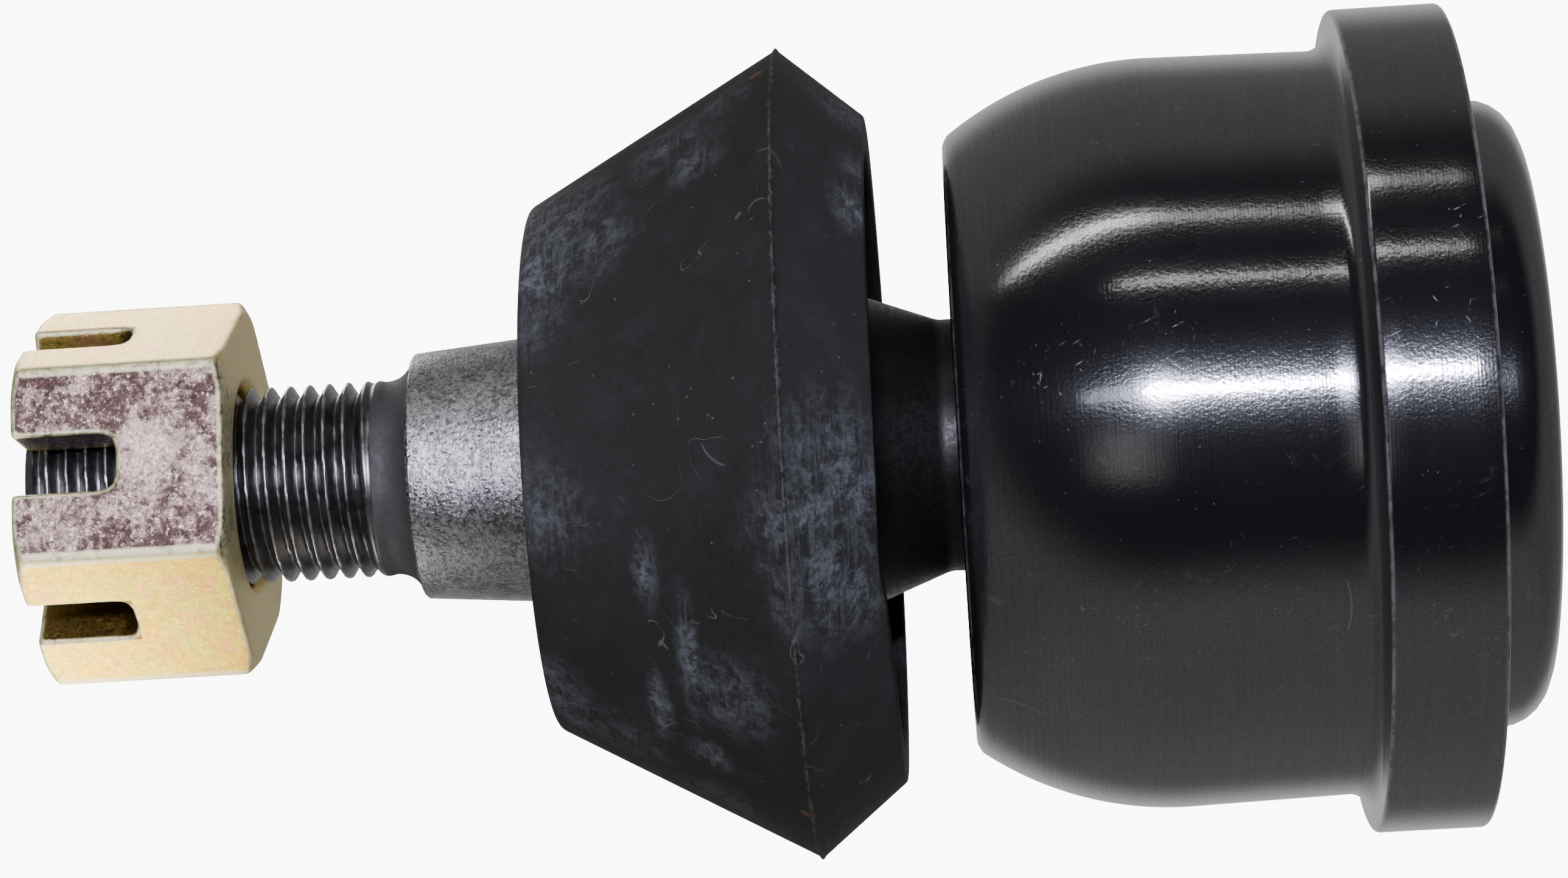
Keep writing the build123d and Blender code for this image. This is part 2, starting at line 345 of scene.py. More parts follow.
class Finish:
    """A material's nodes, with short calls for what the finishes share. Lengths are in mm."""

    def __init__(self, name, **values):
        self.material = bpy.data.materials.new(name)
        self.material.use_nodes = True
        self.tree = self.material.node_tree
        self.shader = self.tree.nodes["Principled BSDF"]
        for socket, value in values.items():
            self.set(socket.replace("_", " "), value)
        place = self.tree.nodes.new("ShaderNodeTexCoord").outputs["Object"]
        self.place = self.scaled(place, (1000, 1000, 1000))

    def set(self, socket, value):
        """Give a shader socket a number, a colour or the output of a node."""
        target = self.shader.inputs[socket]
        if isinstance(value, bpy.types.NodeSocket):
            self.tree.links.new(value, target)
        elif isinstance(value, tuple):
            target.default_value = (*value, 1)[:4]
        else:
            target.default_value = value

    def feed(self, node, inputs):
        """Give a node's inputs numbers, vectors, colours or the outputs of other nodes."""
        for key, value in inputs.items():
            if isinstance(value, bpy.types.NodeSocket):
                self.tree.links.new(value, node.inputs[key])
            elif isinstance(value, tuple) and node.inputs[key].type == "RGBA":
                node.inputs[key].default_value = (*value, 1)[:4]
            else:
                node.inputs[key].default_value = value
        return node

    def scaled(self, vector, scale):
        """A vector stretched by three factors."""
        node = self.tree.nodes.new("ShaderNodeVectorMath")
        node.operation = "MULTIPLY"
        self.feed(node, {0: vector, 1: scale})
        return node.outputs[0]

    def noise(self, scale, detail=3.0, rough=0.55, vector=None, warp=0.0):
        """Cloudy noise, with so many features to a millimetre."""
        node = self.tree.nodes.new("ShaderNodeTexNoise")
        inputs = {"Scale": scale, "Detail": detail, "Roughness": rough, "Distortion": warp}
        self.feed(node, {"Vector": vector or self.place, **inputs})
        return node.outputs["Fac"]

    def cells(self, scale, vector=None):
        """Distance to the nearest of scattered points."""
        node = self.tree.nodes.new("ShaderNodeTexVoronoi")
        self.feed(node, {"Vector": vector or self.place, "Scale": scale})
        return node.outputs["Distance"]

    def math(self, operation, a, b=0.0, clamp=False):
        """Result of one arithmetic node."""
        node = self.tree.nodes.new("ShaderNodeMath")
        node.operation = operation
        node.use_clamp = clamp
        self.feed(node, {0: a, 1: b})
        return node.outputs[0]

    def times(self, a, b):
        return self.math("MULTIPLY", a, b)

    def plus(self, a, b, clamp=False):
        return self.math("ADD", a, b, clamp)

    def less(self, a, b):
        return self.math("SUBTRACT", a, b)

    def most(self, a, b):
        return self.math("MAXIMUM", a, b)

    def apart(self, a, b):
        """How far two values are from each other."""
        return self.math("ABSOLUTE", self.less(a, b))

    def strongest(self, values):
        """The largest of several values at each point."""
        top = None
        for value in values:
            top = value if top is None else self.most(top, value)
        return top

    def span(self, value, low, high, to_low=0.0, to_high=1.0):
        """Map a value from one range to another, smoothly and clamped."""
        node = self.tree.nodes.new("ShaderNodeMapRange")
        node.interpolation_type = "SMOOTHSTEP"
        self.feed(node, {0: value, 1: low, 2: high, 3: to_low, 4: to_high})
        return node.outputs[0]

    def mix(self, factor, a, b):
        """A blend of two colours."""
        node = self.tree.nodes.new("ShaderNodeMix")
        node.data_type = "RGBA"
        self.feed(node, {0: factor, 6: a, 7: b})
        return node.outputs[2]

    def polar(self):
        """Radius, angle and height of the point that is shaded."""
        split = self.tree.nodes.new("ShaderNodeSeparateXYZ")
        self.feed(split, {0: self.place})
        x, y, z = split.outputs
        square = self.plus(self.times(x, x), self.times(y, y))
        return self.math("SQRT", square), self.math("ARCTAN2", y, x), z

    def join(self, x, y, z):
        """A vector from three values."""
        node = self.tree.nodes.new("ShaderNodeCombineXYZ")
        self.feed(node, {0: x, 1: y, 2: z})
        return node.outputs[0]

    def bump(self, height, strength, distance, below=None):
        """A normal that follows a height, on top of another normal if one is given."""
        node = self.tree.nodes.new("ShaderNodeBump")
        self.feed(node, {"Height": height, "Strength": strength, "Distance": distance * MM})
        if below:
            self.tree.links.new(below, node.inputs["Normal"])
        return node.outputs[0]

    def tangent(self):
        """Lay the brushing round the part's axis."""
        node = self.tree.nodes.new("ShaderNodeTangent")
        node.direction_type = "RADIAL"
        node.axis = "Z"
        self.tree.links.new(node.outputs[0], self.shader.inputs["Tangent"])

    def pointy(self):
        """Above a half on outer edges and below it in inner corners."""
        return self.tree.nodes.new("ShaderNodeNewGeometry").outputs["Pointiness"]

    def strokes(self, scale, degrees, width):
        """Scattered straight scratches that lie one way."""
        node = self.tree.nodes.new("ShaderNodeVectorRotate")
        node.rotation_type = "EULER_XYZ"
        node.inputs["Rotation"].default_value = (0, math.radians(degrees), 0)
        self.tree.links.new(self.place, node.inputs["Vector"])
        long_cells = self.cells(scale, self.scaled(node.outputs[0], (1.4, 1.4, 0.10)))
        return self.span(long_cells, 0.0, width, 1.0, 0.0)

    def away(self, centre, drawn=1.0):
        """Distance from a point of the object, counted longer along the axis."""
        offset = self.tree.nodes.new("ShaderNodeVectorMath")
        offset.operation = "SUBTRACT"
        self.feed(offset, {0: self.place, 1: centre})
        node = self.tree.nodes.new("ShaderNodeVectorMath")
        node.operation = "LENGTH"
        self.feed(node, {0: self.scaled(offset.outputs[0], (1, 1, drawn))})
        return node.outputs["Value"]

    def near(self, centre, radius, drawn=1.0):
        """1 at a point of the object and 0 beyond a radius from it."""
        return self.span(self.away(centre, drawn), 0.0, radius, 1.0, 0.0)

    def hair(self, middle, radius, shown, reach):
        """Thin arc of a circle round a point, of which only the part near another point shows."""
        line = self.span(self.apart(self.away(middle), radius), 0.0, HAIR_W, 1.0, 0.0)
        return self.times(line, self.span(self.away(shown), reach - HAIR_END, reach, 1.0, 0.0))

    def rubbed_edge(self, r, z, edge_r, edge_z):
        """Thin line along a round edge of the part."""
        off = self.less(r, edge_r), self.less(z, edge_z)
        gap = self.math("SQRT", self.plus(*(self.times(d, d) for d in off)))
        return self.span(gap, *EDGE_W, 1.0, 0.0)


def gloss_black(name, rough=0.33):
    """Black paint over turned steel: fine rings, scratches, smears, dust and rubbed edges."""
    f = Finish(name, Metallic=0.0, IOR=1.45, Anisotropic=0.7, Anisotropic_Rotation=0.25)
    f.set("Coat Roughness", 0.11)
    f.set("Coat IOR", 2.2)
    f.tangent()
    r, a, z = f.polar()
    turned = f.join(f.times(r, 5.0), f.times(a, 2.5), f.times(z, 5.0))
    wave = f.math("SINE", f.times(f.plus(z, r), 25.0))
    rings = f.plus(f.noise(1.0, 3, 0.65, turned), f.times(wave, 0.10))
    grain = f.noise(3.3, 1, 0.5)
    flake = f.noise(4.2, 1, 0.6)
    colour = f.mix(f.noise(0.12, 3), (0.008, 0.008, 0.008), (0.014, 0.014, 0.015))
    scratches = f.strokes(1.8, 25, 0.20)
    scratches = f.most(scratches, f.strokes(1.6, -55, 0.17))
    scratches = f.most(scratches, f.strokes(1.3, 80, 0.15))
    scratches = f.times(scratches, f.span(f.noise(0.9, 3, 0.7), 0.44, 0.60, 0.1, 1.0))
    zone = f.times(f.span(f.noise(0.11, 2), 0.50, 0.58), 0.12)
    for centre, reach, weight in RUBS:
        zone = f.most(zone, f.times(f.near(centre, reach), weight))
    scratches = f.times(scratches, zone)
    hairs = f.times(f.strongest(f.hair(*hair) for hair in PAINT_HAIRS), 0.35)
    specks = f.span(f.cells(1.1), 0.02, 0.085, 1.0, 0.0)
    specks = f.times(specks, f.span(f.noise(0.25, 2), 0.46, 0.58))
    wear = f.strongest(f.rubbed_edge(r, z, *edge) for edge in WORN_EDGES)
    wear = f.times(wear, f.span(f.noise(0.8, 5, 0.7), 0.38, 0.60, 0.15, 0.8))
    smear = f.times(f.span(f.noise(0.5, 7, 0.75, warp=0.5), 0.60, 0.72), 0.22)
    marks = f.most(f.most(f.most(hairs, specks), wear), smear)
    colour = f.mix(f.times(marks, 0.8), colour, (0.24, 0.225, 0.215))
    f.set("Base Color", f.mix(f.times(scratches, 0.9), colour, (0.50, 0.50, 0.52)))
    worn = f.plus(f.times(rings, 0.10), f.times(marks, 0.2))
    f.set("Roughness", f.plus(worn, rough - 0.17))
    f.set("Specular IOR Level", 0.65)
    dulled = f.plus(f.times(rings, 0.5), f.noise(5.0, 2, 0.7))
    f.set("Coat Weight", f.span(dulled, 0.55, 0.95, 0.70, 1.0))
    f.set("Normal", f.bump(rings, 0.4, 0.010, f.bump(flake, 1.0, 0.014)))
    f.set("Coat Normal", f.bump(rings, 0.4, 0.010, f.bump(grain, 1.0, 0.0055)))
    return f.material


def rubber(name):
    """Moulded rubber with powdery scuffs, lint, pale specks and rusty flecks at the seam."""
    f = Finish(name, Metallic=0.0, Specular_IOR_Level=0.25)
    r, a, z = f.polar()
    fine = f.noise(2.2, 4, 0.7)
    colour = f.mix(f.noise(0.1, 4), (0.0176, 0.0174, 0.0140), (0.0286, 0.0282, 0.0232))
    colour = f.mix(f.span(fine, 0.45, 0.62, 0.0, 0.5), colour, (0.032, 0.032, 0.030))
    around = f.join(f.times(a, 5.0), f.times(r, 0.6), f.times(z, 2.6))
    cloud = f.span(f.noise(0.6, 9, 0.8, warp=0.25), 0.44, 0.60)
    streak = f.span(f.noise(1.0, 6, 0.75, around), 0.45, 0.62)
    zone = f.strongest(f.times(f.near(*spot), weight) for *spot, weight in SCUFFS)
    powder = f.times(f.most(cloud, f.times(streak, 0.6)), zone)
    powder = f.times(powder, f.span(fine, 0.35, 0.6, 0.5, 1.15))
    haze = f.times(f.span(f.noise(0.25, 6, 0.7), 0.45, 0.8), 0.08)
    haze = f.plus(haze, f.span(z, SEAM_Z - 0.5, SEAM_Z, 0.05, 0.0))
    cover = f.plus(haze, f.times(powder, 0.95), True)
    colour = f.mix(cover, colour, (0.18, 0.185, 0.195))
    crust = f.strongest(f.near(*spot) for spot in CRUSTS)
    crust = f.times(crust, f.span(f.cells(2.4), 0.10, 0.22, 1.0, 0.0))
    dust = f.span(f.cells(0.9), 0.02, 0.11, 1.0, 0.0)
    dust = f.times(dust, f.span(f.noise(0.3, 3), 0.46, 0.56))
    dust = f.most(dust, f.times(crust, 0.7))
    curl = f.apart(f.noise(0.22, 1, 0.4, warp=0.9), 0.5)
    lint = f.times(f.span(curl, 0.0, 0.006, 1.0, 0.0), f.span(f.noise(0.21, 2), 0.57, 0.61))
    hairs = f.strongest(f.hair(*hair) for hair in BOOT_HAIRS)
    lint = f.most(lint, f.times(hairs, 0.7))
    colour = f.mix(f.times(f.most(dust, lint), 0.6), colour, (0.22, 0.22, 0.20))
    ragged = f.plus(f.less(z, SEAM_Z), f.span(fine, 0.3, 0.7, -0.12, 0.12))
    seam = f.span(f.math("ABSOLUTE", ragged), 0.02, 0.19, 1.0, 0.0)
    rust = f.times(seam, f.span(f.noise(0.35, 4, 0.7), 0.60, 0.68))
    for centre in FLECKS:
        rust = f.most(rust, f.math("GREATER_THAN", f.near(centre, 1.6, 0.5), 0.82))
    chips = f.span(f.noise(1.2, 4, 0.8), 0.42, 0.60, 0.05, 1.0)
    colour = f.mix(f.times(seam, chips), colour, (0.12, 0.112, 0.10))
    colour = f.mix(f.times(rust, 0.7), colour, (0.20, 0.09, 0.035))
    f.set("Base Color", colour)
    f.set("Roughness", f.span(fine, 0.2, 0.8, 0.56, 0.78))
    f.set("Normal", f.bump(fine, 0.35, 0.04, f.bump(f.noise(0.5, 3), 0.3, 0.10)))
    return f.material


def yellow_zinc(name):
    """Passivated zinc plate: gold with pink and green patches, a mauve flat with painted glints and
    a painted highlight patch, a painted highlight along the edges and painted shade in the slots.
    """
    f = Finish(name, Metallic=1.0)
    r, a, z = f.polar()
    speck = f.noise(3.4, 5, 0.8)
    flake = f.noise(1.5, 5, 0.75, warp=0.5)
    blotch = f.noise(0.35, 4, 0.6, warp=0.6)
    pink = f.noise(0.5, 5, 0.7, warp=0.6)
    gold, olive, rose = (1.0, 0.55, 0.035), (0.84, 0.65, 0.07), (1.0, 0.42, 0.13)
    colour = f.mix(f.span(f.noise(0.14, 4, 0.6, warp=0.8), 0.35, 0.65), gold, olive)
    colour = f.mix(f.span(pink, 0.48, 0.64, 0.0, 0.8), colour, rose)
    colour = f.mix(f.span(speck, 0.52, 0.68, 0.0, 0.35), colour, (0.40, 0.30, 0.18))
    off = f.apart(a, math.radians(NUT_TURN - 90))
    mauve = f.span(off, *MAUVE_EDGE, 1.0, 0.0)
    mauve = f.times(mauve, f.math("GREATER_THAN", r, NUT_BORE_R + 1.5))
    tone = f.plus(f.times(flake, 0.5), f.times(blotch, 0.5))
    # A painted highlight lightens the mauve flat round a spot just below its slot.
    tone = f.plus(tone, f.times(f.near(MAUVE_HIGHLIGHT_SPOT, 3.4), 0.16))
    mauve_and_highlight = f.mix(f.span(tone, 0.45, 0.60), (0.066, 0.038, 0.032), (0.42, 0.30, 0.232))
    # Painted glints: the brightest specks of the mauve flat are coloured pale cream.
    glint = f.span(f.plus(speck, f.times(tone, 0.3)), 0.70, 0.80)
    mauve_and_highlight = f.mix(glint, mauve_and_highlight, (0.95, 0.82, 0.62))
    colour = f.mix(mauve, colour, mauve_and_highlight)
    ends = f.apart(z, NUT_LOW_Z + NUT_H / 2)
    # Painted highlight along the nut's corners, the rims of its end faces and its sharp edges,
    # broken up by the flakes.
    edge = f.span(r, *NUT_EDGE_HIGHLIGHT_R)
    edge = f.most(edge, f.span(ends, NUT_H / 2 - 0.5, NUT_H / 2 - 0.2))
    edge = f.most(edge, f.span(f.pointy(), 0.506, 0.522))
    edge = f.times(edge, f.span(flake, 0.36, 0.52, 0.4, 1.0))
    # Painted shade: the walls and floor of each slot are darkened to brown.
    from_slot = f.math("PINGPONG", f.less(a, math.radians(NUT_TURN + 30)), math.radians(30))
    across = f.times(r, f.math("SINE", from_slot))
    painted_slot_shade = f.span(across, SLOT_W / 2 + 0.05, SLOT_W / 2 + 0.25, 1.0, 0.0)
    painted_slot_shade = f.times(painted_slot_shade, f.span(r, 12.9, 12.2))
    slot_end = NUT_LOW_Z + NUT_H - SLOT_DEPTH
    painted_slot_shade = f.times(painted_slot_shade, f.span(z, slot_end - 0.25, slot_end - 0.05))
    colour = f.mix(f.times(painted_slot_shade, 0.85), colour, (0.05, 0.035, 0.016))
    # The edges are painted pale gold as a highlight.
    colour = f.mix(f.times(edge, 0.9), colour, (1.0, 0.92, 0.52))
    f.set("Base Color", colour)
    polish = f.span(speck, 0.3, 0.7, 0.20, 0.40)
    f.set("Roughness", f.plus(polish, f.times(edge, 0.25)))
    f.set("Normal", f.bump(speck, 1.0, 0.05, f.bump(flake, 0.8, 0.10)))
    return f.material


def thread_oxide(name):
    """Black oxide on the thread, its crests lightened partly as rubbed oxide and partly as a painted
    highlight.
    """
    f = Finish(name, Metallic=1.0)
    r, _, z = f.polar()
    wear = f.noise(0.9, 5, 0.7)
    # Crests lightened partly as rubbed oxide and partly as a painted highlight, fading out over the
    # first turn.
    crest_wear_and_highlight = f.span(r, THREAD_R - 0.13, THREAD_R - 0.02)
    crest_wear_and_highlight = f.times(crest_wear_and_highlight, f.span(wear, 0.35, 0.6, 0.2, 1.0))
    crest_wear_and_highlight = f.times(crest_wear_and_highlight, f.span(z, THREAD_LOW_Z + 0.2, THREAD_LOW_Z + 1.4, 0.15, 1.0))
    colour = f.mix(wear, (0.07, 0.066, 0.064), (0.26, 0.25, 0.24))
    f.set("Base Color", f.mix(crest_wear_and_highlight, colour, (0.40, 0.385, 0.37)))
    f.set("Roughness", f.span(wear, 0.3, 0.7, 0.28, 0.42))
    f.set("Normal", f.bump(f.noise(5.0, 3), 0.25, 0.02))
    return f.material


def ground_steel(name, dark=(0.18, 0.172, 0.165), light=(0.54, 0.53, 0.52), rough=0.38):
    """Bare steel, ground round its axis and speckled by handling."""
    f = Finish(name, Metallic=1.0)
    r, a, z = f.polar()
    turned = f.join(f.times(r, 5.0), f.times(a, 2.0), f.times(z, 9.0))
    lines = f.noise(1.0, 4, 0.7, turned)
    blotch = f.noise(0.45, 4, 0.6)
    speckle = f.noise(3.0, 4, 0.85)
    tone = f.plus(f.times(blotch, 0.3), f.times(speckle, 0.7))
    grain = f.noise(4.0, 3, 0.7)
    f.set("Base Color", f.mix(f.span(tone, 0.40, 0.60), dark, light))
    f.set("Roughness", f.plus(f.times(speckle, 0.45), rough - 0.33))
    f.set("Normal", f.bump(lines, 0.4, 0.02, f.bump(grain, 1.0, 0.085)))
    return f.material


def dark_steel(name, tone=0.05, rough=0.5):
    """Forged steel left dark, matte and a little uneven."""
    f = Finish(name, Metallic=0.8)
    mottle = f.noise(0.7, 5, 0.7)
    grain = f.noise(3.0, 4, 0.7)
    shade = tuple(tone * t for t in (0.62, 0.60, 0.58))
    f.set("Base Color", f.mix(mottle, shade, (tone * 1.5, tone * 1.4, tone * 1.3)))
    f.set("Roughness", f.span(grain, 0.3, 0.7, rough - 0.1, rough + 0.1))
    f.set("Normal", f.bump(grain, 0.4, 0.04))
    return f.material


def sintered(name):
    """Porous pressed metal, oily from the grease."""
    f = Finish(name, Metallic=0.9)
    pores = f.cells(2.2)
    f.set("Base Color", f.mix(f.noise(0.4, 4), (0.24, 0.21, 0.17), (0.40, 0.36, 0.30)))
    f.set("Roughness", f.span(pores, 0.0, 0.5, 0.5, 0.32))
    f.set("Normal", f.bump(pores, 0.4, 0.05))
    return f.material


def make_housing():
    """The cup's outer and inner walls as one smooth turned shell."""
    dome_r = BARREL_R - DOME_R
    dome_z = FACE_Z - math.sqrt(DOME_R**2 - (FACE_R - dome_r) ** 2)
    dome_end = math.degrees(math.asin((FACE_Z - dome_z) / DOME_R))
    flange_low = FLANGE_TOP_Z - FLANGE_H
    plate_low = BOTTOM_Z + LIP_T
    plate_top = plate_low + PLATE_T
    shoulder_low = THROAT_Z - (SOCKET_R - SHOULDER_R)
    below = rounded([
        (BARREL_R, FLANGE_TOP_Z, 1.7),
        (FLANGE_R, FLANGE_TOP_Z, 0.4),
        (FLANGE_R, flange_low, 0.35),
        (LIP_R, flange_low, 0.2),
        (LIP_R, BOTTOM_Z, 3.2),
        (LIP_HOLE_R, BOTTOM_Z, 0.3),
        (LIP_HOLE_R, plate_low),
        (PLATE_R, plate_low),
        (PLATE_R, plate_top),
        (SOCKET_R, plate_top),
        (SOCKET_R, shoulder_low),
        (SHOULDER_R, THROAT_Z),
        (THROAT_R, THROAT_Z),
        (MOUTH_R, FACE_Z, 0.6),
        (FACE_R - 0.45, FACE_Z, 0.0),
        (FACE_R - 0.13, FACE_Z - 0.12, 0.0),
    ])
    dome = arc((dome_r, dome_z), DOME_R, dome_end - 1.1, 0, 24)
    line = finer(below + dome, HOUSING_RUN)
    piece = smooth(lathe("housing_shell", line, HOUSING_SIDES), 35)
    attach(piece, "housing")
    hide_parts("housing")
    piece.data.materials.append(gloss_black("housing_paint"))
    return piece


def thread_radius(r, angle, z):
    """Cuts the right-hand 60 degree thread into a plain shank."""
    if r < THREAD_R - STUD_CHAMFER - 0.1 or z < THREAD_LOW_Z - THREAD_RUN_IN:
        return r
    phase = (z / PITCH - angle / (2 * math.pi)) % 1.0
    flank = min(max((abs(phase - 0.5) * 2 - 0.125) / 0.75, 0.0), 1.0)
    fade = min(max((z - THREAD_LOW_Z + THREAD_RUN_IN) / PITCH, 0.0), 1.0)
    chamfer = THREAD_R - max(0.0, z - (STUD_END_Z - STUD_CHAMFER))
    return min(THREAD_R - THREAD_DEPTH * flank * fade, chamfer, r + STUD_CHAMFER)


def cut_thread(r, angle, z):
    """A point of the shank, moved onto the thread."""
    return thread_radius(r, angle, z), z


def taper_radius(z):
    """Radius of the stud's taper at a height."""
    return TAPER_TOP_R + (TAPER_TOP_Z - z) * TAPER / 2


def make_stud():
    """Ball, neck, collar, taper and a real cut thread, with the cotter hole bored through."""
    flat_r = math.sqrt(BALL_R**2 - BALL_FLAT_Z**2)
    neck_z = math.sqrt(BALL_R**2 - CONE_LOW_R**2)
    start = math.degrees(math.atan2(BALL_FLAT_Z, flat_r))
    end = math.degrees(math.atan2(neck_z, CONE_LOW_R))
    ball = arc((0, 0), BALL_R, start, end - BALL_END, 72)
    neck = rounded([
        (0, 0),
        ball[-1],
        (CONE_LOW_R + 0.05, neck_z + 0.7, 1.0),
        (CONE_LOW_R, CONE_LOW_Z, 2.0),
        (COLLAR_R, COLLAR_LOW_Z, 0.5),
        (COLLAR_R, COLLAR_TOP_Z, 0.5),
        (taper_radius(COLLAR_TOP_Z), COLLAR_TOP_Z, 0.3),
        (TAPER_TOP_R, TAPER_TOP_Z, 0.2),
        (TAPER_TOP_R - 0.3, TAPER_TOP_Z + 0.02),
    ])[2:-1]
    flare = arc((RELIEF_R + RELIEF_L, TAPER_TOP_Z + RELIEF_L), RELIEF_L, 258, 180, 12)
    body = finer(ball[:-1] + neck + flare + [(RELIEF_R, THREAD_LOW_Z - 0.9)], STUD_RUN, False)
    rows = int((STUD_END_Z - THREAD_LOW_Z + THREAD_RUN_IN) / PITCH * THREAD_ROWS)
    heights = np.linspace(THREAD_LOW_Z - THREAD_RUN_IN, STUD_END_Z - 0.001, rows)
    thread = [(THREAD_R, z) for z in heights]
    top = [(THREAD_R - STUD_CHAMFER - 0.3, STUD_END_Z), (0, STUD_END_Z)]
    line = [(0, BALL_FLAT_Z)] + body + thread + top
    piece = spindle("threaded_stud", line, STUD_SIDES, cut_thread)
    hole = prism("cotter_hole", COTTER_R, -2 * THREAD_R, 2 * THREAD_R, 48)
    to_slot = Matrix.Rotation(math.radians(NUT_TURN + 180 / SLOTS), 4, "Z")
    across = to_slot @ Matrix.Rotation(math.pi / 2, 4, "Y")
    hole.data.transform(Matrix.Translation((0, 0, (STUD_END_Z - COTTER_FROM_END) * MM)) @ across)
    carve(piece, hole, "DIFFERENCE")
    smooth(piece, 50)
    for finish in (
        ground_steel("ball_polish", (0.35, 0.35, 0.36), (0.5, 0.5, 0.51), 0.2),
        dark_steel("shoulder_black", 0.035, 0.42),
        ground_steel("taper_ground"),
        dark_steel("relief_dark", 0.09, 0.72),
        thread_oxide("thread_black"),
    ):
        piece.data.materials.append(finish)
    limits = (neck_z - 0.5, COLLAR_TOP_Z - 0.2, TAPER_TOP_Z + 0.1, THREAD_LOW_Z - 0.75)
    for face in piece.data.polygons:
        face.material_index = sum(face.center.z > limit * MM for limit in limits)
    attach(piece, "stud")
    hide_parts("ball_stud")
    return piece


def make_nut():
    """Slotted nut with the soft edges of forging and plating."""
    drop = (NUT_CORNER_R - NUT_FACE_R) * NUT_CHAMFER_SLOPE
    turn = math.radians(NUT_TURN)
    top = NUT_LOW_Z + NUT_H
    nut = prism("slotted_nut", NUT_CORNER_R, NUT_LOW_Z, top, 6, turn)
    barrel = lathe("nut_barrel", [
        (NUT_BORE_R, NUT_LOW_Z + NUT_MOUTH),
        (NUT_BORE_R + NUT_MOUTH, NUT_LOW_Z - 0.001),
        (NUT_FACE_R, NUT_LOW_Z - 0.001),
        (NUT_CORNER_R + 0.2, NUT_LOW_Z + drop + 0.1),
        (NUT_CORNER_R + 0.2, top - drop - 0.1),
        (NUT_FACE_R, top + 0.001),
        (NUT_BORE_R + NUT_MOUTH, top + 0.001),
        (NUT_BORE_R, top - NUT_MOUTH),
    ], 96)
    carve(nut, barrel, "INTERSECT")
    half = SLOT_W / 2
    deep = top - SLOT_DEPTH
    for i in range(SLOTS // 2):
        a = turn + math.radians(30 + 60 * i)
        side = Vector((-math.sin(a), math.cos(a)))
        ahead = Vector((math.cos(a), math.sin(a))) * 2 * NUT_CORNER_R
        outline = [(-half, top + 2), (-half, deep + SLOT_CORNER_R)]
        outline += [(-half + 0.3, deep + 0.3), (-half + SLOT_CORNER_R, deep)]
        outline += [(-w, z) for w, z in reversed(outline)]
        verts = [
            (side.x * w + way * ahead.x, side.y * w + way * ahead.y, z)
            for way in (-1, 1)
            for w, z in outline
        ]
        count = len(outline)
        faces = [tuple(range(count)), tuple(range(2 * count - 1, count - 1, -1))]
        faces += [(n, n + count, (n + 1) % count + count, (n + 1) % count) for n in range(count)]
        cutter = mesh_object("slot_cutter", verts, faces)
        fix = bmesh.new()
        fix.from_mesh(cutter.data)
        bmesh.ops.recalc_face_normals(fix, faces=fix.faces)
        fix.to_mesh(cutter.data)
        fix.free()
        carve(nut, cutter, "DIFFERENCE")
    grid = nut.modifiers.new("grid", "REMESH")
    grid.mode = "VOXEL"
    grid.voxel_size = NUT_GRID * MM
    soften = nut.modifiers.new("soften", "SMOOTH")
    soften.factor = 0.5
    soften.iterations = NUT_PASSES
    bake(nut)
    nut.data.polygons.foreach_set("use_smooth", [True] * len(nut.data.polygons))
    nut.data.materials.clear()
    nut.data.materials.append(yellow_zinc("nut_zinc"))
    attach(nut, "nut")
    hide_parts("castle_nut")
    return nut


def boot_shape(r, a, z):
    """Small unevenness of a moulded boot, and the dent pressed into its rim."""
    wave = 0.10 * math.sin(3 * a + 0.6) + 0.06 * math.sin(7 * a + 2.0)
    low = max(0.0, 1 - (z - RIM_Z) / (SEAM_Z - RIM_Z)) if z < SEAM_Z else 0.0
    off = (a - KINK_ANGLE + math.pi) % (2 * math.pi) - math.pi
    dent = math.exp(-((off / KINK_WIDTH) ** 2)) * low**1.5
    inner = r < RIM_R - 0.3 * BOOT_WALL
    step = 0.35 / (1 + math.exp(-off / math.radians(1.5))) * low
    z += 0.25 * dent + step + 0.05 * low * (1 + wave)
    return r - 0.12 - abs(wave) * 0.5 - dent * (0.6 if inner else 0.9), z


def gripped(r, a, z):
    """The uneven moulding, except where the boot grips the stud."""
    return boot_shape(r, a, z) if r > GRIP_R else (r, z)


def make_boot():
    """Double-cone boot with a fine moulding line round its widest edge."""
    grip_z = BOOT_TOP_Z - BOOT_GRIP_L
    fall = (SEAM_R - BOOT_TOP_R) / (BOOT_TOP_Z - SEAM_Z)
    wall = BOOT_WALL * math.sqrt(1 + fall**2)
    roof_r = SEAM_R - wall - (grip_z - SEAM_Z) * fall
    line = rounded([
        (RIM_R, RIM_Z, 0.35),
        (SEAM_R - 0.25, SEAM_Z - 0.22, 0.15),
        (SEAM_R + 0.05, SEAM_Z, 0.05),
        (SEAM_R - 0.25, SEAM_Z + 0.22, 0.15),
        (BOOT_TOP_R, BOOT_TOP_Z, 0.9),
        (taper_radius(BOOT_TOP_Z) + 0.8, BOOT_TOP_Z, 0.2),
        (taper_radius(BOOT_TOP_Z) + BOOT_PLAY + 0.15, BOOT_TOP_Z - 0.6),
        (taper_radius(grip_z) + BOOT_PLAY + 0.15, grip_z, 0.3),
        (roof_r, grip_z, 2.5),
        (SEAM_R - wall, SEAM_Z, 2.5),
        (RIM_R - BOOT_WALL, RIM_Z, 0.35),
    ])
    piece = smooth(lathe("rubber_boot", finer(line, BOOT_RUN), BOOT_SIDES, gripped), 38)
    piece.data.materials.append(rubber("boot_rubber_finish"))
    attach(piece, "boot")
    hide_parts("dust_boot")
    return piece


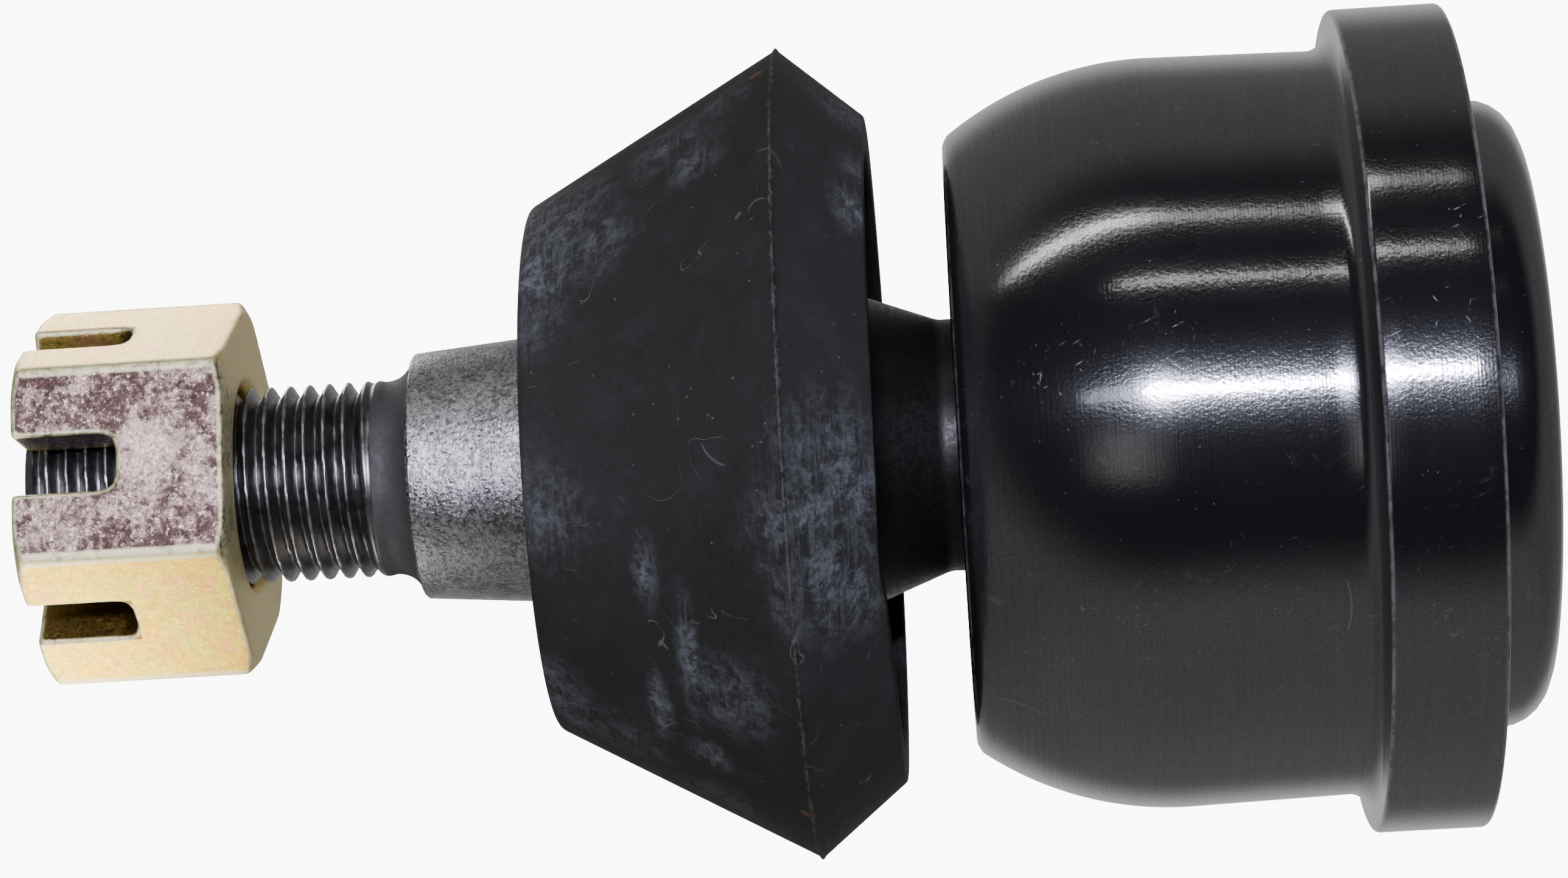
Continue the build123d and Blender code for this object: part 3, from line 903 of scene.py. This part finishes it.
def dress_inner():
    """Finishes for the nodes that keep their own shape."""
    finishes = {
        "cover_plate": gloss_black("cover_paint", 0.36),
        "preload_spring": ground_steel("spring_oiled", (0.1, 0.1, 0.1), (0.24, 0.23, 0.22), 0.34),
        "lower_bearing": sintered("lower_seat"),
        "upper_bearing": sintered("upper_seat"),
    }
    for node, finish in finishes.items():
        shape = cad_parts[node]
        shape.data.materials.clear()
        shape.data.materials.append(finish)


def view_axes():
    """The camera's right, away and up directions, written along the part's X, Y and Z."""
    yaw, roll = math.radians(YAW), math.radians(ROLL)
    along = Vector((math.cos(yaw) * math.cos(roll), math.sin(yaw), math.cos(yaw) * math.sin(roll)))
    part_z = -along
    part_x = (Vector((0, 0, 1)) - part_z * part_z.z).normalized()
    part_y = part_z.cross(part_x)
    return [Vector((part_x[i], part_y[i], part_z[i])) for i in range(3)]


def make_camera():
    """Camera at the photograph's distance, lens and tilt."""
    right, away, up = view_axes()
    target = Vector((0, 0, AIM_Z))
    place = target - right * AIM_RIGHT - away * DISTANCE - up * AIM_UP
    camera = bpy.data.objects.new("camera", bpy.data.cameras.new("camera"))
    camera.data.sensor_fit = "HORIZONTAL"
    camera.data.sensor_width = SENSOR_W
    camera.data.lens = FOCAL_PX / IMAGE_W * SENSOR_W
    camera.data.clip_start = 0.01
    turned = Matrix((right, up, -away)).transposed().to_4x4()
    camera.matrix_world = Matrix.Translation(place * MM) @ turned
    bpy.context.scene.collection.objects.link(camera)
    bpy.context.scene.camera = camera


def soft_box(name, angle, distance, span, width, radiance, colour=(1, 1, 1), fade=0.2, beam=180):
    """Panel that lies along the part's axis and fades over a share of its length and width."""
    low, high = span
    length = (high - low) * MM
    lamp = bpy.data.lights.new(name, "AREA")
    lamp.shape = "RECTANGLE"
    lamp.size, lamp.size_y = length, width * MM
    lamp.energy = radiance * math.pi * length * width * MM
    lamp.color = colour
    lamp.spread = math.radians(beam)
    lamp.use_nodes = True
    tree = lamp.node_tree
    glow = next(node for node in tree.nodes if node.type == "EMISSION")
    place = tree.nodes.new("ShaderNodeNewGeometry")
    split = tree.nodes.new("ShaderNodeSeparateXYZ")
    tree.links.new(place.outputs["Parametric"], split.inputs[0])
    total = tree.nodes.new("ShaderNodeMath")
    total.operation = "MULTIPLY"
    for axis, reach in enumerate((fade, SIDE_FADE)):
        rim = tree.nodes.new("ShaderNodeMath")
        rim.operation = "PINGPONG"
        rim.inputs[1].default_value = 0.5
        tree.links.new(split.outputs[axis], rim.inputs[0])
        level = tree.nodes.new("ShaderNodeMapRange")
        level.interpolation_type = "SMOOTHSTEP"
        level.inputs[2].default_value = reach
        tree.links.new(rim.outputs[0], level.inputs[0])
        tree.links.new(level.outputs[0], total.inputs[axis])
    tree.links.new(total.outputs[0], glow.inputs["Strength"])
    a = math.radians(angle)
    outward = Vector((math.sin(a), -math.cos(a), 0))
    along = Vector((0, 0, 1))
    turned = Matrix((along, outward.cross(along), outward)).transposed()
    light = bpy.data.objects.new(name, lamp)
    place = outward * distance + along * (low + high) / 2
    light.matrix_world = Matrix.Translation(place * MM) @ turned.to_4x4()
    light.visible_camera = False
    bpy.context.scene.collection.objects.link(light)


def make_world():
    """White behind the part, and a pale sky with a dark room on the camera's side to light it."""
    world = bpy.data.worlds.new("studio")
    bpy.context.scene.world = world
    world.use_nodes = True
    tree = world.node_tree
    tree.nodes.clear()
    output = tree.nodes.new("ShaderNodeOutputWorld")
    blend = tree.nodes.new("ShaderNodeMixShader")
    seen = tree.nodes.new("ShaderNodeBackground")
    lit = tree.nodes.new("ShaderNodeBackground")
    seen.inputs[0].default_value = (1, 1, 1, 1)
    seen.inputs[1].default_value = WHITE
    lit.inputs[0].default_value = (0.98, 0.98, 1.0, 1)
    place = tree.nodes.new("ShaderNodeTexCoord").outputs["Generated"]

    def patch(angle, edge, outside, painted_slot_shade):
        """Level across the sky that changes round one direction."""
        facing = tree.nodes.new("ShaderNodeVectorMath")
        facing.operation = "DOT_PRODUCT"
        a = math.radians(angle)
        facing.inputs[1].default_value = (math.sin(a), -math.cos(a), 0)
        tree.links.new(place, facing.inputs[0])
        level = tree.nodes.new("ShaderNodeMapRange")
        level.interpolation_type = "SMOOTHSTEP"
        steps = (*(math.cos(math.radians(e)) for e in edge), outside, painted_slot_shade)
        for i, value in enumerate(steps, 1):
            level.inputs[i].default_value = value
        tree.links.new(facing.outputs["Value"], level.inputs[0])
        return level.outputs[0]

    level = patch(ROOM_ANGLE, ROOM_EDGE, SKY, ROOM)
    extra = [patch(WALL_ANGLE, WALL_EDGE, 0.0, WALL), patch(TABLE_ANGLE, TABLE_EDGE, 0.0, TABLE)]
    for more in extra:
        total = tree.nodes.new("ShaderNodeMath")
        tree.links.new(level, total.inputs[0])
        tree.links.new(more, total.inputs[1])
        level = total.outputs[0]
    tree.links.new(level, lit.inputs[1])
    path = tree.nodes.new("ShaderNodeLightPath")
    tree.links.new(path.outputs["Is Camera Ray"], blend.inputs[0])
    tree.links.new(lit.outputs[0], blend.inputs[1])
    tree.links.new(seen.outputs[0], blend.inputs[2])
    tree.links.new(blend.outputs[0], output.inputs[0])


def make_stage():
    """Pale floor and soft boxes."""
    floor = prism("floor", FLOOR_R, BOTTOM_Z - FLOOR_T, BOTTOM_Z, 64)
    paint = Finish("floor_white", Roughness=0.9, Base_Color=(0.9, 0.9, 0.9))
    paint.set("Emission Color", (1.0, 1.0, 1.0))
    paint.set("Emission Strength", WHITE)
    floor.data.materials.append(paint.material)
    floor.visible_glossy = False
    floor.visible_diffuse = False
    for name, (*place, extras) in SOFT_BOXES.items():
        soft_box(name, *place, **extras)


make_camera()
make_world()
make_stage()
make_housing()
make_stud()
make_nut()
make_boot()
dress_inner()
